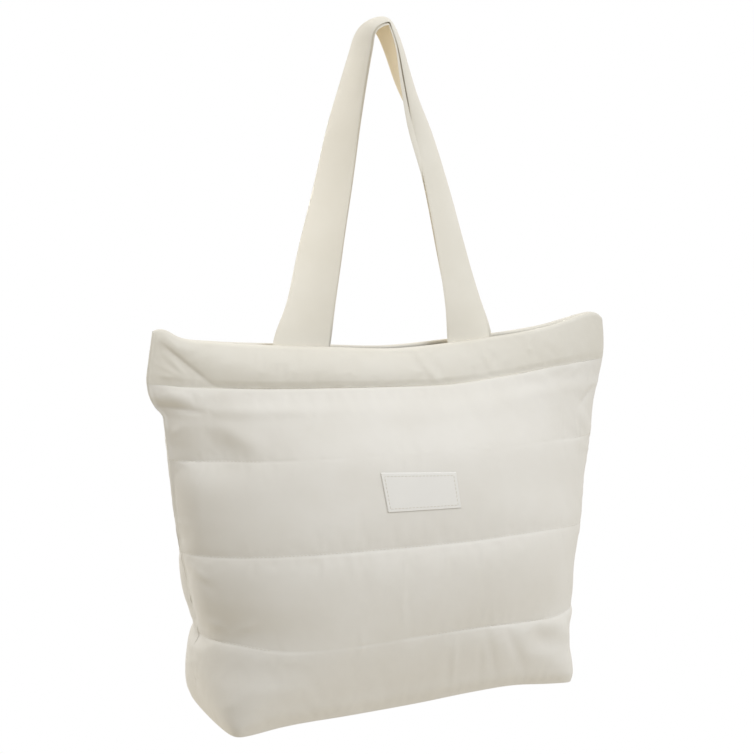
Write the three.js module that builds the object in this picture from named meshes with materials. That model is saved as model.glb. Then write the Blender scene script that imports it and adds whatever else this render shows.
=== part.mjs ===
// A quilted tote bag, hung up by its two shoulder straps.
// Millimetres, +Z up, +X to the right seen from the front, -Y towards the front.
// The origin is the point that carries the bag: the underside of the straps at the top of their loop.
import * as THREE from "three";

// Driving dimensions
const STRAP_DROP = 300; // top of the strap loop to the mouth at mid-width
const BAG_HEIGHT = 340; // mouth at mid-width to the base
const BAND_SEAM = 300; // base to the band's lower seam
const PIECE_GAP = 0.4; // clearance between neighbouring pieces

// Quilted walls
const QUILT_SKIN = 1.5; // half the wall's thickness along a sewn line
const INNER_PUFF = 4; // how far the padding swells into the bag
const PUFF_POWER = 0.8; // below 1 makes a baffle full, above 1 makes it peaked
const SIDE_TAPER_POWER = 5; // how late the padding thins out towards a side seam
const PANEL_COLUMNS = 26;
const ROWS_PER_BAFFLE = 4;

// Mouth band
const BAND_SKIN = 3; // half the band's thickness at mid-width
const BAND_PUFF = 4; // how far the band bulges outwards
const BAND_ROWS = 5;
const END_THIN_POWER = 8; // how late the band thins out towards a side seam
const END_RISE_POWER = 3; // how late a level curves up towards a side seam

// Base
const BASE_THICKNESS = 6;
const BASE_ROWS = 4;

// Straps
const STRAP_THICKNESS = 2.4;
const STRAP_TAIL = 28; // length sewn to the inside of the band
const TAIL_MIDDLE = STRAP_DROP + STRAP_TAIL / 2;
const TAIL_END = STRAP_DROP + STRAP_TAIL;
const FOOT_WIDTH = 49; // the strap widens to this where it meets the band
const NEST_STEP = STRAP_THICKNESS + 1; // from one strap to the other at the top of the loop
const STRAP_STEPS = 3; // steps between two rows of the strap table
const STRAP_COLUMNS = 6;
const FLAT_CURL = 1; // degrees, the least roll-in that is worked out as an arc
const APART_FROM = 130; // depth below the loop's top where the two straps begin to part

// Label patch
const LABEL_WIDTH = 75;
const LABEL_HEIGHT = 35;
const LABEL_LEVEL = 210; // middle of the patch above the base
const LABEL_THICKNESS = 1;
const LABEL_LIFT = 0.6;
const LABEL_COLUMNS = 6;
const LABEL_ROWS = 4;

// Levels of the bag, from the base to the mouth. height is above the base at mid-width, endRise how much
// higher the level is at the side seams, lean a sideways drift of the whole level. A level's outline is
// |x / halfWidth| ^ frontPower + |y / halfDepth| ^ sidePower = 1.
const LEVELS = [
  { height: 0, endRise: 0, halfWidth: 178, halfDepth: 69, lean: 1, frontPower: 40, sidePower: 2.2 },
  { height: 40, endRise: 0, halfWidth: 188, halfDepth: 72, lean: 0, frontPower: 12, sidePower: 2.6 },
  { height: 76, endRise: 0, halfWidth: 191, halfDepth: 76, lean: 7, frontPower: 5, sidePower: 2 },
  { height: 159, endRise: 0, halfWidth: 209, halfDepth: 72, lean: 9, frontPower: 3.6, sidePower: 1.45 },
  { height: 243, endRise: 2, halfWidth: 222, halfDepth: 52, lean: 11, frontPower: 2.7, sidePower: 1.15 },
  { height: 280, endRise: 9, halfWidth: 231, halfDepth: 37, lean: 11, frontPower: 2.3, sidePower: 1.03 },
  { height: BAND_SEAM, endRise: 14, halfWidth: 238, halfDepth: 28, lean: 10, frontPower: 2.2, sidePower: 1 },
  { height: BAG_HEIGHT, endRise: 20, halfWidth: 235, halfDepth: 15, lean: 12, frontPower: 2.2, sidePower: 1 },
];

// Baffles between sewn lines, with how far each swells outwards.
const BAFFLES = [
  { bottom: 0, top: 76, puff: 9 },
  { bottom: 76, top: 159, puff: 9 },
  { bottom: 159, top: 243, puff: 9 },
  { bottom: 243, top: BAND_SEAM, puff: 7 },
];

// Front strap, from the top of its loop down both legs. leftX and rightX are the legs' places, turn how far
// a leg has twisted out of the bag's width, curl how far its edges roll in. From the mouth down the strap
// lies along the band instead of following turn.
const STRAP_ROWS = [
  { drop: 0, leftX: 0, rightX: 0, leftTurn: 90, rightTurn: 90, curl: 95, width: 40 },
  { drop: 7, leftX: -15, rightX: 10.5, leftTurn: 88, rightTurn: 87, curl: 90, width: 40 },
  { drop: 26, leftX: -24, rightX: 21, leftTurn: 84, rightTurn: 83, curl: 88, width: 40 },
  { drop: 60, leftX: -31.5, rightX: 33, leftTurn: 76, rightTurn: 70, curl: 80, width: 40 },
  { drop: 100, leftX: -40, rightX: 46, leftTurn: 65, rightTurn: 48, curl: 66, width: 40 },
  { drop: 150, leftX: -49.5, rightX: 60.5, leftTurn: 53, rightTurn: 33, curl: 40, width: 40 },
  { drop: 210, leftX: -63.5, rightX: 74, leftTurn: 40, rightTurn: 25, curl: 24, width: 42 },
  { drop: 265, leftX: -75.5, rightX: 85, leftTurn: 18, rightTurn: 16, curl: 14, width: 44 },
  { drop: STRAP_DROP, leftX: -83, rightX: 91, leftTurn: 0, rightTurn: 0, curl: 0, width: FOOT_WIDTH },
  { drop: TAIL_MIDDLE, leftX: -84, rightX: 92, leftTurn: 0, rightTurn: 0, curl: 0, width: FOOT_WIDTH },
  { drop: TAIL_END, leftX: -85, rightX: 93, leftTurn: 0, rightTurn: 0, curl: 0, width: FOOT_WIDTH },
];

// Finishes
const SHELL_FABRIC = { color: 0xd9d4c8, roughness: 0.5, metalness: 0 };
const STRAP_FABRIC = { color: 0xe1dccf, roughness: 0.55, metalness: 0 };
const LABEL_FABRIC = { color: 0xe2e0db, roughness: 0.7, metalness: 0 };

const MOUTH_Z = -STRAP_DROP;
const BASE_Z = MOUTH_Z - BAG_HEIGHT;
const FRONT = -1;
const BACK = 1;

// Smooth interpolation of every column of a table along one of them.
function smoothTable(rows, along) {
  const columns = Object.keys(rows[0]);
  const positions = rows.map((row) => row[along]);
  const values = rows.flatMap((row) => columns.map((column) => row[column]));
  const buffer = new Float64Array(columns.length);
  const spline = new THREE.CubicInterpolant(positions, values, columns.length, buffer);
  return (position) => {
    const sample = spline.evaluate(position);
    return Object.fromEntries(columns.map((column, index) => [column, sample[index]]));
  };
}

const levelAt = smoothTable(LEVELS, "height");

// Depth of a level's outline at a distance from its middle.
function outlineDepth(level, x) {
  const share = Math.min(1, Math.abs(x) / level.halfWidth);
  return level.halfDepth * (1 - share ** level.frontPower) ** (1 / level.sidePower);
}

// Front half of a level's outline in plan, from the left side seam to the right one.
class FrontOutline extends THREE.Curve {
  constructor(level) {
    super();
    this.level = level;
  }

  getPoint(t, target = new THREE.Vector3()) {
    const x = this.level.halfWidth * Math.sin((t - 0.5) * Math.PI);
    return target.set(x, -outlineDepth(this.level, x), 0);
  }
}

// Height of a point on a level's outline.
function levelZ(level, point) {
  const rise = level.endRise * (Math.abs(point.x) / level.halfWidth) ** END_RISE_POWER;
  return BASE_Z + level.height + rise;
}

// How far a level's wall is moved forward, so that its edge at a side seam stays on the front side.
function seamShift(outline) {
  const tangent = outline.getTangentAt(0);
  return -PIECE_GAP / 2 - QUILT_SKIN * Math.abs(tangent.x);
}

// One row of a front wall: its outer and inner points, stood off the level's outline by the given distances.
function wallRow(level, shares, outwards, inwards) {
  const outline = new FrontOutline(level);
  const shift = new THREE.Vector3(level.lean, seamShift(outline), 0);
  const outer = [];
  const inner = [];
  for (const share of shares) {
    const point = outline.getPointAt(share);
    const tangent = outline.getTangentAt(share);
    const normal = new THREE.Vector3(tangent.y, -tangent.x, 0);
    point.z = levelZ(level, point);
    point.add(shift);
    outer.push(point.clone().addScaledVector(normal, outwards(share)));
    inner.push(point.clone().addScaledVector(normal, -inwards(share)));
  }
  return { outer, inner };
}

// Even shares of a wall's length, from side seam to side seam.
function evenShares(columns) {
  return Array.from({ length: columns + 1 }, (_, column) => column / columns);
}

// How near a share of the wall's length is to a side seam: 0 at mid-width, 1 at the seam.
function seamNearness(share) {
  return Math.abs(2 * share - 1);
}

// Rows of the quilted wall from the base to the band.
function panelRows() {
  const shares = evenShares(PANEL_COLUMNS);
  const rows = [];
  BAFFLES.forEach((baffle, index) => {
    const firstStep = index === 0 ? 0 : 1;
    const top = baffle.top - (baffle.top === BAND_SEAM ? PIECE_GAP / 2 : 0);
    for (let step = firstStep; step <= ROWS_PER_BAFFLE; step += 1) {
      const fraction = step / ROWS_PER_BAFFLE;
      const swell = Math.max(0, Math.sin(Math.PI * fraction)) ** PUFF_POWER;
      const level = levelAt(THREE.MathUtils.lerp(baffle.bottom, top, fraction));
      const taper = (share) => swell * (1 - seamNearness(share) ** SIDE_TAPER_POWER);
      const outwards = (share) => QUILT_SKIN + baffle.puff * taper(share);
      const inwards = (share) => QUILT_SKIN + INNER_PUFF * taper(share);
      rows.push(wallRow(level, shares, outwards, inwards));
    }
  });
  return rows;
}

// Half the band's thickness at a share of its length.
function bandSkin(share) {
  return THREE.MathUtils.lerp(BAND_SKIN, QUILT_SKIN, seamNearness(share) ** END_THIN_POWER);
}

// Rows of the band from its seam to the mouth.
function bandRows() {
  const shares = evenShares(PANEL_COLUMNS);
  const rows = [];
  for (let step = 0; step <= BAND_ROWS; step += 1) {
    const fraction = step / BAND_ROWS;
    const level = levelAt(THREE.MathUtils.lerp(BAND_SEAM + PIECE_GAP / 2, BAG_HEIGHT, fraction));
    const swell = Math.sin(Math.PI * fraction);
    const outwards = (share) => {
      return bandSkin(share) + BAND_PUFF * swell * (1 - seamNearness(share) ** SIDE_TAPER_POWER);
    };
    rows.push(wallRow(level, shares, outwards, bandSkin));
  }
  return rows;
}

// Triangles of a closed solid from two grids of points, its outer and its inner face.
function closedWall(outer, inner) {
  const rows = outer.length;
  const columns = outer[0].length;
  const index = (face, row, column) => (face * rows + row) * columns + column;
  const faces = [];
  const addQuad = (a, b, c, d) => faces.push(a, b, c, a, c, d);
  for (let row = 0; row + 1 < rows; row += 1) {
    for (let column = 0; column + 1 < columns; column += 1) {
      const corners = [[row, column], [row, column + 1], [row + 1, column + 1], [row + 1, column]];
      addQuad(...corners.map(([r, c]) => index(0, r, c)));
      addQuad(...corners.reverse().map(([r, c]) => index(1, r, c)));
    }
  }
  const last = { row: rows - 1, column: columns - 1 };
  for (let column = 0; column < last.column; column += 1) {
    addQuad(index(1, 0, column), index(1, 0, column + 1), index(0, 0, column + 1), index(0, 0, column));
    const above = [index(0, last.row, column), index(0, last.row, column + 1)];
    addQuad(...above, index(1, last.row, column + 1), index(1, last.row, column));
  }
  for (let row = 0; row < last.row; row += 1) {
    addQuad(index(0, row, 0), index(0, row + 1, 0), index(1, row + 1, 0), index(1, row, 0));
    const right = [index(1, row, last.column), index(1, row + 1, last.column)];
    addQuad(...right, index(0, row + 1, last.column), index(0, row, last.column));
  }
  const geometry = new THREE.BufferGeometry().setFromPoints([...outer.flat(), ...inner.flat()]);
  geometry.setIndex(faces);
  geometry.computeVertexNormals();
  return geometry;
}

// The back of the bag is the front mirrored, with its rows run the other way so that faces still point out.
function mirrorToBack(grid) {
  return grid.map((row) => row.map((point) => new THREE.Vector3(point.x, -point.y, point.z)).reverse());
}

// A wall of the bag on its front or back, from rows of the front wall.
function bagWall(rows, side) {
  const outer = rows.map((row) => row.outer);
  const inner = rows.map((row) => row.inner);
  return side === FRONT ? closedWall(outer, inner) : closedWall(mirrorToBack(outer), mirrorToBack(inner));
}

// One face of the base: a grid across the ring of the two panels' lower edges, at a height above them.
function baseFace(inset, height) {
  const insideColumns = evenShares(PANEL_COLUMNS).slice(1, -1);
  const ring = wallRow(levelAt(0), insideColumns, () => 0, () => QUILT_SKIN + inset).inner;
  return Array.from({ length: BASE_ROWS + 1 }, (_, row) => {
    const across = 1 - (2 * row) / BASE_ROWS;
    return ring.map((edge) => new THREE.Vector3(edge.x, edge.y * across, edge.z + height));
  });
}

// The base, flat underneath, with its upper edge clear of the swelling walls.
function baseGeometry() {
  return closedWall(baseFace(PIECE_GAP + INNER_PUFF, BASE_THICKNESS), baseFace(PIECE_GAP, 0));
}

// Distance from the mid-plane to the band's inner face.
function bandInnerDepth(x, height) {
  const level = levelAt(height);
  return outlineDepth(level, x - level.lean) - seamShift(new FrontOutline(level)) - BAND_SKIN;
}

// How far, in degrees, the band's inner face is turned out of the bag's width at a strap's foot.
function bandTurn(x, height) {
  const reach = FOOT_WIDTH / 2;
  const change = bandInnerDepth(x + reach, height) - bandInnerDepth(x - reach, height);
  return THREE.MathUtils.radToDeg(Math.atan(Math.abs(change) / FOOT_WIDTH));
}

// One row of a strap's centre line on its left or right leg.
function strapPlace(row, side, isLeft) {
  const x = isLeft ? row.leftX : row.rightX;
  const z = STRAP_THICKNESS / 2 + NEST_STEP - row.drop;
  const height = Math.min(BAG_HEIGHT, z - BASE_Z);
  const footDepth = bandInnerDepth(x, height) - PIECE_GAP - STRAP_THICKNESS;
  const apart = THREE.MathUtils.smoothstep(row.drop, APART_FROM, STRAP_DROP);
  const freeTurn = isLeft ? row.leftTurn : row.rightTurn;
  const turn = row.drop < STRAP_DROP ? freeTurn : -side * bandTurn(x, height);
  return {
    x,
    y: side * footDepth * apart,
    z,
    turn: isLeft ? turn : 180 - turn,
    curl: Math.max(row.curl, FLAT_CURL),
    width: row.width,
    nest: side === BACK ? NEST_STEP * (1 - apart) : 0,
  };
}

// Both legs of a strap as one table, from the left tail over the loop to the right one.
function strapTable(side) {
  const left = STRAP_ROWS.slice(1).reverse().map((row) => strapPlace(row, side, true));
  const right = STRAP_ROWS.map((row) => strapPlace(row, side, false));
  return [...left, ...right].map((row, index) => ({ index, ...row }));
}

// A strap: a flat strip that twists out of the bag's width and rolls its edges in towards its loop.
function strapGeometry(side) {
  const rows = strapTable(side);
  const stationAt = smoothTable(rows, "index");
  const steps = (rows.length - 1) * STRAP_STEPS;
  const stations = Array.from({ length: steps + 1 }, (_, step) => stationAt(step / STRAP_STEPS));
  const centres = stations.map((station) => new THREE.Vector3(station.x, station.y, station.z));
  const outer = [];
  const inner = [];
  stations.forEach((station, step) => {
    const before = centres[Math.max(0, step - 1)];
    const after = centres[Math.min(steps, step + 1)];
    const along = after.clone().sub(before).normalize();
    const turn = THREE.MathUtils.degToRad(station.turn);
    const across = new THREE.Vector3(Math.cos(turn), -Math.sin(turn), 0);
    across.addScaledVector(along, -across.dot(along)).normalize();
    const outwards = across.clone().cross(along);
    const radius = station.width / THREE.MathUtils.degToRad(station.curl) - station.nest;
    const halfArc = station.width / radius / 2;
    const hub = centres[step].clone().addScaledVector(outwards, -radius - station.nest);
    const ring = (distance) => evenShares(STRAP_COLUMNS).map((share) => {
      const angle = (2 * share - 1) * halfArc;
      const point = hub.clone().addScaledVector(across, distance * Math.sin(angle));
      return point.addScaledVector(outwards, distance * Math.cos(angle));
    });
    outer.push(ring(radius + STRAP_THICKNESS / 2));
    inner.push(ring(radius - STRAP_THICKNESS / 2));
  });
  return closedWall(outer, inner);
}

// The label patch lies on the baffle that holds it, stood off by a small lift.
function labelGeometry() {
  const baffle = BAFFLES.find((row) => row.bottom < LABEL_LEVEL && LABEL_LEVEL < row.top);
  const outer = [];
  const inner = [];
  for (let row = 0; row <= LABEL_ROWS; row += 1) {
    const height = LABEL_LEVEL + LABEL_HEIGHT * (row / LABEL_ROWS - 0.5);
    const level = levelAt(height);
    const halfShare = LABEL_WIDTH / new FrontOutline(level).getLength() / 2;
    const shares = evenShares(LABEL_COLUMNS).map((share) => 0.5 + (2 * share - 1) * halfShare);
    const fraction = (height - baffle.bottom) / (baffle.top - baffle.bottom);
    const panelFace = QUILT_SKIN + baffle.puff * Math.sin(Math.PI * fraction) ** PUFF_POWER;
    const underside = panelFace + LABEL_LIFT;
    const wall = wallRow(level, shares, () => underside + LABEL_THICKNESS, () => -underside);
    outer.push(wall.outer);
    inner.push(wall.inner);
  }
  return closedWall(outer, inner);
}

// A named piece with its own finish.
function addPiece(group, name, geometry, finish) {
  const piece = new THREE.Mesh(geometry, new THREE.MeshStandardMaterial(finish));
  piece.name = name;
  group.add(piece);
}

const bag = new THREE.Group();
const panels = panelRows();
const bands = bandRows();
addPiece(bag, "front_panel", bagWall(panels, FRONT), SHELL_FABRIC);
addPiece(bag, "back_panel", bagWall(panels, BACK), SHELL_FABRIC);
addPiece(bag, "base_panel", baseGeometry(), SHELL_FABRIC);
addPiece(bag, "front_band", bagWall(bands, FRONT), SHELL_FABRIC);
addPiece(bag, "back_band", bagWall(bands, BACK), SHELL_FABRIC);
addPiece(bag, "front_strap", strapGeometry(FRONT), STRAP_FABRIC);
addPiece(bag, "back_strap", strapGeometry(BACK), STRAP_FABRIC);
addPiece(bag, "label_patch", labelGeometry(), LABEL_FABRIC);

export default bag;
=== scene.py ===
# A quilted nylon tote bag hung by its two shoulder straps: the looks of every piece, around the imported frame.
# +Z up, +X to the right seen from the front, -Y towards the front. The origin is the point that carries it.
# Sizes and tables are in millimetres, and meshes are made in metres.
import math

import bmesh
import bpy
import numpy as np
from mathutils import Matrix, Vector
from mathutils.bvhtree import BVHTree


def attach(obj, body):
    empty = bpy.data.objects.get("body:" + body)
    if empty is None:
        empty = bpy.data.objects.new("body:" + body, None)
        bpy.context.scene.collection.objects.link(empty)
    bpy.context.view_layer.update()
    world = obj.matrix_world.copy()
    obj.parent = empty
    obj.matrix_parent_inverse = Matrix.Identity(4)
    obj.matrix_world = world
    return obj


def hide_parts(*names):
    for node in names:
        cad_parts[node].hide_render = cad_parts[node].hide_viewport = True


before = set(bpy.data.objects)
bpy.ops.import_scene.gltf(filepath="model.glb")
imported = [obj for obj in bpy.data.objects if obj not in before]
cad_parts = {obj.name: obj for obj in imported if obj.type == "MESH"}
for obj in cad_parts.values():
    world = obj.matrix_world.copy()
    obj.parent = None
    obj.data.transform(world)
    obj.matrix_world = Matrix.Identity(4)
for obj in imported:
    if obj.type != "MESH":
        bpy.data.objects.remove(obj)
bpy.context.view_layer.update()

MM = 0.001
TINY = 1e-9  # the least length that anything is divided by
FRONT = -1
BACK = 1
SIDES = {"front": FRONT, "back": BACK}

# Driving dimensions
STRAP_DROP = 300  # top of the strap loop to the mouth at mid-width
BAG_HEIGHT = 340  # mouth at mid-width to the base
BAND_SEAM = 300  # base to the band's lower seam
MOUTH_Z = -STRAP_DROP
BASE_Z = MOUTH_Z - BAG_HEIGHT
SEAM_GAP = 0.08  # clearance between pieces that are sewn together
PIECE_GAP = 0.4  # clearance between other neighbouring pieces

# Quilted walls
QUILT_SKIN = 1.5  # half the wall's thickness along a sewn line
INNER_PUFF = 4  # how far the padding swells into the bag
INNER_RISE = 15  # height over which that swell sets in above the base
BELLY_POWER = 1.35  # above 1 puts a baffle's fullest place nearer to its upper sewn line
PUFF_POWER = 0.62  # the smaller, the fuller a baffle
SELVAGE = 4.0  # flat strip beside a side seam
SIDE_ROLL = 30.0  # length over which the padding rises from the selvage
CORNER_RUN = (1, 12)  # depths under the first sewn line between which the padding fills the corner too
EDGE_ROUND = 1.5  # length over which a wall thins to its side seam
TAUT_SIDE = 0.6  # how much of its swell the wall loses towards the right side seam, where it is drawn flat
TAUT_PLACES = (110, 215)  # places across the bag between which that sets in
TAUT_HEIGHTS = (60, 120)  # and heights
PANEL_COLUMNS = 250
ROWS_PER_BAFFLE = 34
END_CLUSTER = 0.45  # share of the columns' and rows' spacing that crowds towards seams
OUTLINE_SAMPLES = 3001  # points of a level's outline, from which its columns are taken

# Mouth band
BAND_SKIN = 3  # half its thickness
BAND_PUFF = 6.0  # how far it bulges outwards
BAND_PUFF_POWER = 0.7  # the smaller, the fuller its bulge
BAND_LIP = 1.2 * BAND_SKIN  # distance from the mouth over which it is rounded
BAND_FOOT = 0.2  # share of its height over which it thickens above the quilted wall
BAND_ROWS = 44
END_THIN_POWER = 8  # how late it thins towards its side seams

# Ears of the band. At the left one the bulge begins abruptly at a crease: a place on it, and its direction.
EAR_CREASE = {"x": -193, "height": 329.5, "along_x": 42, "along_height": -37}
EAR_ROLL = 30.0  # distance over which the bulge rises from the crease
EAR_RIM = (0.1, 0.4)  # shares of the band's height, from the top, between which the crease begins
CREASE_DEPTH = 0.88  # how much of the bulge is lost beyond the crease
FLAT_EAR = 0.8  # how much of it is lost at the right ear, which lies flat
FLAT_EAR_PLACES = (-60, 150)  # places across the bag between which that sets in

# Base
BASE_THICKNESS = 6
BASE_CROWN = 2.0  # how far the base sags between its edges
CROWN_EDGE_POWER = 4  # how late the sag ends towards its long edges
CROWN_END_POWER = 8  # and towards its ends
BASE_ROWS = 60
BASE_END_COLUMNS = 2  # columns of the walls that the base leaves out at each side seam

# Straps
STRAP_THICKNESS = 2
STRAP_TAIL = 28  # length sewn to the inside of the band
TAIL_MIDDLE = STRAP_DROP + STRAP_TAIL / 2
TAIL_END = STRAP_DROP + STRAP_TAIL
FOOT_WIDTH = 49  # mean width of a strap's foot
NEST_GAP = 0.3  # clearance between the nested straps
NEST_STEP = STRAP_THICKNESS + NEST_GAP
NEST_TOP = 3.8  # height of the outer strap's underside above the origin at the top of the loop
FLAT_CURL = 1  # the least that a strap rolls its edges in, in degrees
APART_FROM = 130  # drop from which the two straps part towards their own bands
BACK_FOOT_SHIFT = 9  # how far the back strap's feet are set to the right of the front one's
STRAP_STEPS = 18  # steps between two rows of the strap table
STRAP_COLUMNS = 26
STRAP_EDGE_POWER = 6  # how late a strap thins out towards its edges

# Label patch
LABEL_WIDTH = 75
LABEL_HEIGHT = 35
LABEL_X = 10
LABEL_LEVEL = 209
LABEL_TOP = ((-31, 229), (46, 224))  # its upper corners, as x and height
LABEL_BOTTOM = ((-27, 193), (48, 191))
LABEL_THICKNESS = 0.9
LABEL_ROUND = 0.5  # how far its edge is rounded
LABEL_LIFT = 0.35  # clearance to the wall under it
LABEL_INSET = 3  # from its edge to its stitches
LABEL_CALM = 15  # distance from the patch over which the wall's small folds set in
LABEL_COLUMNS = 76
LABEL_ROWS = 38
WELL_IN_FRONT = -1000  # a place on the y axis in front of the whole bag

# Stitches. Each is a few rings: place is a share of its length, size and lift are shares of its radius.
STITCH_PITCH = 3.6
STITCH_LENGTH = 2.6
STITCH_RADIUS = 0.28
STITCH_SIDES = 6
STITCHED_DEPTH = 0.3  # a sewn line shows its stitches where it is drawn in deeper than this
RING_COLUMNS = ("place", "size", "lift")
RINGS = [
    (-0.5, 0.4, -0.3),
    (-0.3, 1, 0.1),
    (0.3, 1, 0.1),
    (0.5, 0.4, -0.3),
]

# Puckers beside the seams
SEAM_PUCKERS = {"spacing": 5, "length": 7, "lift": 0.3}
SIDE_PUCKERS = {"spacing": 5, "length": 9, "lift": 0.9}
PUCKER_WIDTHS = (1.6, 4.2)
PUCKER_REACHES = (0.4, 1.6)  # shares of the length
PUCKER_SLANTS = (-0.35, 0.35)
PUCKER_SIZES = (-1, 1.2)  # shares of the lift
PUCKER_START = 1.5  # distance over which a pucker rises from its seam
PUCKER_SEEDS = {"panel": {FRONT: 100, BACK: 200}, "band": {FRONT: 300, BACK: 400}}
SIDE_SEED_STEP = 20  # added to a wall's seed for its side seams
OUT_OF_REACH = 1000  # farther from a seam than any pucker runs

# Small folds, from skins that swell as cloth
SKIN_STEP = 2  # every second row and column of a wall is simulated
SKIN_FRAMES = 20
SEWN_GROUP = "sewn"
SKIN_SLACK = 0.012  # how much longer the cloth is than the shape it starts from
SKIN_SETTINGS = {
    "quality": 6,
    "mass": 0.15,
    "tension_stiffness": 20,
    "compression_stiffness": 20,
    "shear_stiffness": 8,
    "bending_stiffness": 1.5,
    "vertex_group_mass": SEWN_GROUP,
    "use_pressure": True,
    "uniform_pressure_force": 4.0,
    "shrink_min": -SKIN_SLACK,
}
SKIN_CAP = 5.0  # the farthest a point of the skin is moved
SHAPE_BLUR = 24  # steps of blur that tell the wall's own shape from its small folds
HOLD_BLUR = 2  # steps of blur round the points that seams hold
FREE_SHARES = (0.625, 0.95)  # how free of such points a place is where folds begin, and where they are whole
SELVAGE_COLUMNS = 3  # columns that a side seam holds
SEAM_ROWS = 2  # rows that the band's lower seam holds
RIM_ROWS = 3  # rows that the mouth's edge holds
SEWN_DEPTH = 0.35  # a sewn line holds the cloth where it is deeper than this
FOLD_SHARE = 0.15  # how much of the small folds is kept far from a sewn line
SEAM_FOLD_SHARE = 0.6  # and right beside one
FOLD_REACH = 12.0  # distance over which that falls off
BAND_FOLD_SHARE = 0.25

# Meshes
SHARP_ANGLE = 55  # in degrees
WELD_DISTANCE = 0.01
CLOTH_MAP = "cloth"
TURNED_OVER = [0, 3, 2, 1]  # order of a face's corners that turns it over

# Finishes of the cloths: two close tones, and the weave's pitch, its depth and the crumple's depth.
FINISH_COLUMNS = ("pale", "deep", "roughness", "sheen", "pitch", "weave_depth", "crumple")
FINISHES = {
    "shell_nylon": ((0.82, 0.80, 0.755), (0.79, 0.767, 0.715), 0.5, 0.15, 0.9, 0.02, 0.15),
    "band_nylon": ((0.78, 0.755, 0.69), (0.75, 0.722, 0.65), 0.5, 0.15, 0.9, 0.02, 0.15),
    # The straps' nylon is painted lighter and warmer than the shell's: painted light, for how the light falls
    # on the straps.
    "strap_nylon": ((0.85, 0.82, 0.74), (0.82, 0.787, 0.70), 0.55, 0.15, 0.9, 0.03, 0.12),
    # The straps' inner faces are painted gold: a painted glow of light shining through the strap cloth.
    "strap_inside_painted_glow": ((0.92, 0.845, 0.69), (0.9, 0.815, 0.65), 0.6, 0.1, 0.9, 0.03, 0.12),
    "label_cloth": ((0.88, 0.87, 0.84), (0.85, 0.84, 0.81), 0.6, 0.1, 0.7, 0.03, 0.03),
    "thread": ((0.76, 0.73, 0.66), (0.70, 0.66, 0.58), 0.6, 0.2, 0.5, 0.02, 0.02),
}
SHEEN_ROUGHNESS = 0.45
SPECULAR_LEVEL = 0.35
ROUGHNESS_SPREAD = 0.06
TONE_PLACES = (0.3, 0.7)  # values of the noise at which the deep and the pale tone are pure
TONE_NOISE = {"size": 45, "detail": 3}
GLOSS_NOISE = {"size": 18, "detail": 4}
CRUMPLE_NOISE = {"size": 9, "detail": 3}
NOISE_ROUGHNESS = 0.5

# Slots of the pieces by the frame's node that each replaces
SLOTS = {
    **{f"{place}_panel": "shell_nylon" for place in ("front", "back", "base")},
    **{f"{word}_band": "band_nylon" for word in SIDES},
    # The straps take their nylon painted lighter and warmer than the shell's, as painted light.
    **{f"{word}_strap": "strap_nylon" for word in SIDES},
    "label_patch": "label_cloth",
}

# Camera, in degrees and metres, with its lens in millimetres
CAMERA_AZIMUTH = -24.04
CAMERA_ELEVATION = 6.94
CAMERA_DISTANCE = 1.4199
CAMERA_TARGET = Vector((-0.0044, 0, -0.3316))
CAMERA_LENS = 70.9

# Lights, in metres, watts and degrees
LIGHT_COLUMNS = ("name", "place", "target", "size", "power", "colour", "spread")
LIGHTS = [
    ("key", (0.98, -1.76, 0.95), (0, 0, -0.4), 1.3, 26.0, (0.91, 0.945, 1), 180),
    ("rim", (-1.6, 1.3, 0.45), (0, 0, -0.3), 1.2, 10, (1, 0.99, 0.97), 180),
    ("strap fill", (-1.2, -0.5, 0.5), (-0.185, 0, -0.155), 0.15, 0.088, (1, 0.98, 0.94), 22),
]

# Floor, in metres, and studio
FLOOR_Z = -1.6
FLOOR_RADIUS = 2.0
FLOOR_CORNERS = 96
FLOOR_COLOUR = (0.74, 0.68, 0.56, 1)
FLOOR_ROUGHNESS = 0.9
WORLD_BRIGHT_SIDE = (0.1, 0.7, 0.7)  # direction from which the studio's own light is brightest
WORLD_DIM = 0.16
WORLD_BRIGHT = 1.05
WORLD_TINT = (1.0, 0.97, 0.91, 1)
WHITE = (1, 1, 1, 1)

# Levels of the bag from the base to the mouth. height is at mid-width, and left and right are the places of
# the side seams. A level's outline in plan is |x / half width| ^ front_power + |y / depth| ^ side_power = 1.
# puff is how far a baffle swells outwards.
LEVEL_COLUMNS = ("height", "left", "right", "depth", "front_power", "side_power", "puff")
LEVELS = [
    (0, -177, 179.5, 69, 80, 1.85, 0.3),
    (12, -177.7, 179.7, 69, 30, 4.5, 4.9),
    (25, -179.5, 180, 69, 16, 3.5, 7.2),
    (40, -180.5, 180, 70, 9, 2.6, 9),
    (76, -184, 198.5, 76, 4.2, 2, 9),
    (120, -192.5, 206, 76, 3.8, 1.65, 9),
    (159, -200, 218.5, 72, 3.6, 1.45, 9),
    (200, -206.5, 226.5, 63, 3, 1.25, 9),
    (243, -211, 234, 52, 2.7, 1.15, 9),
    (270, -215, 238, 41, 2.4, 1.06, 8),
    (276, -216, 240, 38.5, 2.3, 1.04, 8),
    (283, -223, 242.5, 35, 2.3, 1.02, 8),
    (290, -227.5, 245, 32, 2.2, 1, 7),
    (BAND_SEAM, -230, 248, 28, 2.2, 1, 7),
    (320, -228, 249, 21, 2.2, 1, 6),
    (BAG_HEIGHT, -224, 247, 15, 2.2, 1, 6),
]

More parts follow.
